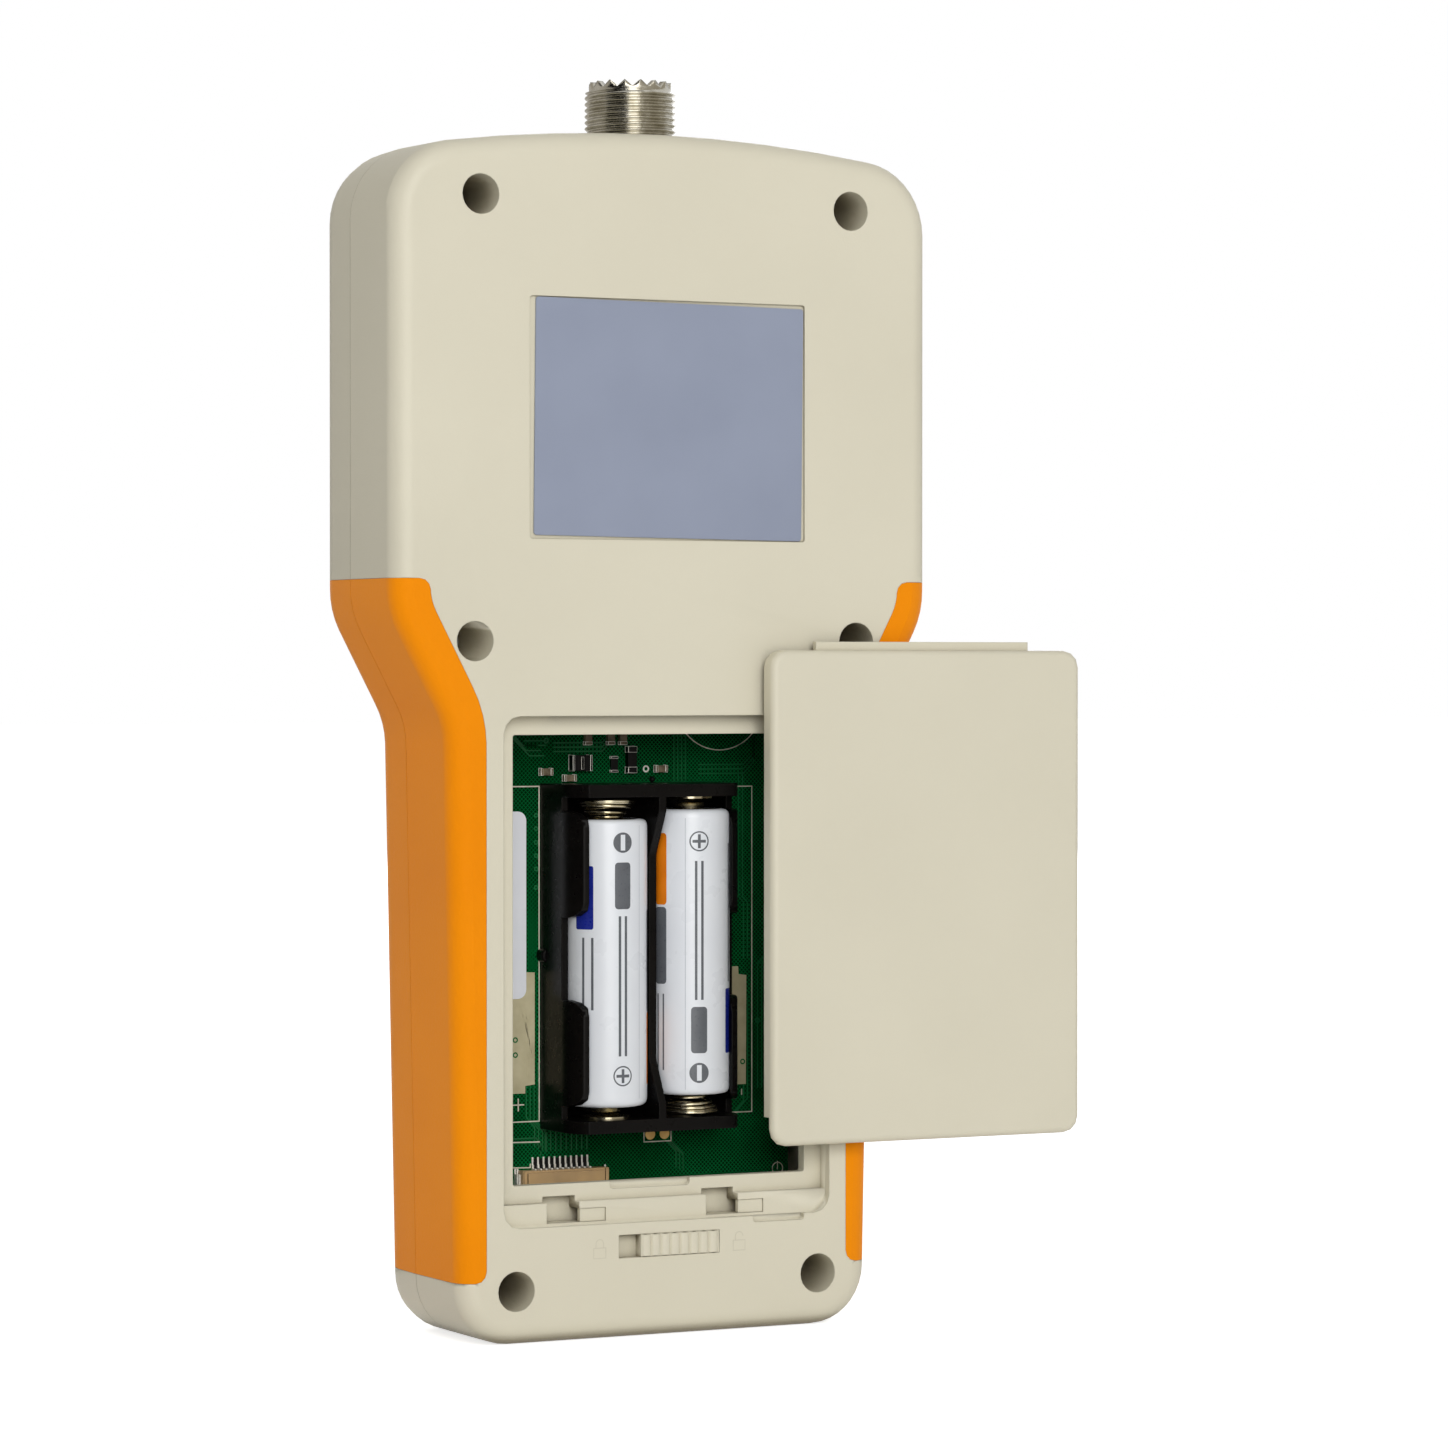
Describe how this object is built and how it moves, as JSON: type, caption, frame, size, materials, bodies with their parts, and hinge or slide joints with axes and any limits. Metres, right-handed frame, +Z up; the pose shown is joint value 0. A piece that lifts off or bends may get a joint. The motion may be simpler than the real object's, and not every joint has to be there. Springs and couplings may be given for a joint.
{
  "type": "antenna analyzer",
  "caption": "Handheld antenna analyzer with an open battery bay, a latched cover lifted off beside it, a threaded coaxial socket, a screen and a keypad.",
  "frame": {"origin": "middle of the flat base, under the case; the base rests on z = 0", "axes": "+Z up the case, +Y out of the back with the battery bay, the screen and keys face -Y"},
  "size_m": [0.1307, 0.0393, 0.2158],
  "materials": {
    "case": "fine satin grain",
    "grip": "matt soft-touch",
    "label": "satin",
    "board": "lacquered",
    "holder": "moulded",
    "cell": "printed sleeve",
    "nickel": "satin nickel plate",
    "steel": "zinc plate",
    "insulator": "turned",
    "socket_plastic": "moulded",
    "film": "polyester film",
    "overlay": "textured film",
    "key": "matt",
    "window": "polished",
    "dark_plastic": "moulded"
  },
  "bodies": {
    "case": {"front_shell": "case", "rear_shell": "case", "rear_grip_left": "grip", "rear_grip_right": "grip", "front_grip_left": "grip", "front_grip_right": "grip", "back_label": "label", "main_board": "board", "battery_holder": "holder", "cell_left": "cell", "cell_right": "cell", "contact_left": "nickel", "contact_right": "nickel", "spring_left": "nickel", "spring_right": "nickel", "socket_shell": "nickel", "socket_contact": "nickel", "socket_lead": "nickel", "usb_socket": "nickel", "shield_can": "nickel", "socket_insulator": "insulator", "keypad_socket": "socket_plastic", "keypad_tail": "film", "keypad_membrane": "film", "keypad_overlay": "overlay", "display_window": "window", "display_module": "dark_plastic", "display_carrier": "dark_plastic", "beeper": "dark_plastic", "case_screw_lower_left": "steel", "case_screw_lower_right": "steel", "case_screw_middle_left": "steel", "case_screw_middle_right": "steel", "case_screw_upper_left": "steel", "case_screw_upper_right": "steel", "board_screw_lower_left": "steel", "board_screw_lower_right": "steel", "board_screw_upper_left": "steel", "board_screw_upper_right": "steel"},
    "cover": {"battery_cover": "case"},
    "latch": {"cover_latch": "case"},
    "key_01_body": {"key_01": "key"},
    "key_02_body": {"key_02": "key"},
    "key_03_body": {"key_03": "key"},
    "key_04_body": {"key_04": "key"},
    "key_05_body": {"key_05": "key"},
    "key_06_body": {"key_06": "key"},
    "key_07_body": {"key_07": "key"},
    "key_08_body": {"key_08": "key"},
    "key_09_body": {"key_09": "key"},
    "key_10_body": {"key_10": "key"},
    "key_11_body": {"key_11": "key"},
    "key_12_body": {"key_12": "key"},
    "key_13_body": {"key_13": "key"},
    "key_14_body": {"key_14": "key"},
    "key_15_body": {"key_15": "key"},
    "key_16_body": {"key_16": "key"},
    "key_17_body": {"key_17": "key"},
    "key_18_body": {"key_18": "key"}
  },
  "joints": [
    {"name": "cover_slide", "type": "slide", "parent": "case", "child": "cover", "axis": [0.9719, 0, -0.2354], "range_m": [0, 0.0497]},
    {"name": "latch_slide", "type": "slide", "parent": "case", "child": "latch", "axis": [1, 0, 0], "range_m": [0, 0.004]},
    {"name": "key_01_press", "type": "slide", "parent": "case", "child": "key_01_body", "axis": [0, 1, 0], "range_m": [0, 0.0005], "stiffness_N_per_m": 2000},
    {"name": "key_02_press", "type": "slide", "parent": "case", "child": "key_02_body", "axis": [0, 1, 0], "range_m": [0, 0.0005], "stiffness_N_per_m": 2000},
    {"name": "key_03_press", "type": "slide", "parent": "case", "child": "key_03_body", "axis": [0, 1, 0], "range_m": [0, 0.0005], "stiffness_N_per_m": 2000},
    {"name": "key_04_press", "type": "slide", "parent": "case", "child": "key_04_body", "axis": [0, 1, 0], "range_m": [0, 0.0005], "stiffness_N_per_m": 2000},
    {"name": "key_05_press", "type": "slide", "parent": "case", "child": "key_05_body", "axis": [0, 1, 0], "range_m": [0, 0.0005], "stiffness_N_per_m": 2000},
    {"name": "key_06_press", "type": "slide", "parent": "case", "child": "key_06_body", "axis": [0, 1, 0], "range_m": [0, 0.0005], "stiffness_N_per_m": 2000},
    {"name": "key_07_press", "type": "slide", "parent": "case", "child": "key_07_body", "axis": [0, 1, 0], "range_m": [0, 0.0005], "stiffness_N_per_m": 2000},
    {"name": "key_08_press", "type": "slide", "parent": "case", "child": "key_08_body", "axis": [0, 1, 0], "range_m": [0, 0.0005], "stiffness_N_per_m": 2000},
    {"name": "key_09_press", "type": "slide", "parent": "case", "child": "key_09_body", "axis": [0, 1, 0], "range_m": [0, 0.0005], "stiffness_N_per_m": 2000},
    {"name": "key_10_press", "type": "slide", "parent": "case", "child": "key_10_body", "axis": [0, 1, 0], "range_m": [0, 0.0005], "stiffness_N_per_m": 2000},
    {"name": "key_11_press", "type": "slide", "parent": "case", "child": "key_11_body", "axis": [0, 1, 0], "range_m": [0, 0.0005], "stiffness_N_per_m": 2000},
    {"name": "key_12_press", "type": "slide", "parent": "case", "child": "key_12_body", "axis": [0, 1, 0], "range_m": [0, 0.0005], "stiffness_N_per_m": 2000},
    {"name": "key_13_press", "type": "slide", "parent": "case", "child": "key_13_body", "axis": [0, 1, 0], "range_m": [0, 0.0005], "stiffness_N_per_m": 2000},
    {"name": "key_14_press", "type": "slide", "parent": "case", "child": "key_14_body", "axis": [0, 1, 0], "range_m": [0, 0.0005], "stiffness_N_per_m": 2000},
    {"name": "key_15_press", "type": "slide", "parent": "case", "child": "key_15_body", "axis": [0, 1, 0], "range_m": [0, 0.0005], "stiffness_N_per_m": 2000},
    {"name": "key_16_press", "type": "slide", "parent": "case", "child": "key_16_body", "axis": [0, 1, 0], "range_m": [0, 0.0005], "stiffness_N_per_m": 2000},
    {"name": "key_17_press", "type": "slide", "parent": "case", "child": "key_17_body", "axis": [0, 1, 0], "range_m": [0, 0.0005], "stiffness_N_per_m": 2000},
    {"name": "key_18_press", "type": "slide", "parent": "case", "child": "key_18_body", "axis": [0, 1, 0], "range_m": [0, 0.0005], "stiffness_N_per_m": 2000}
  ]
}
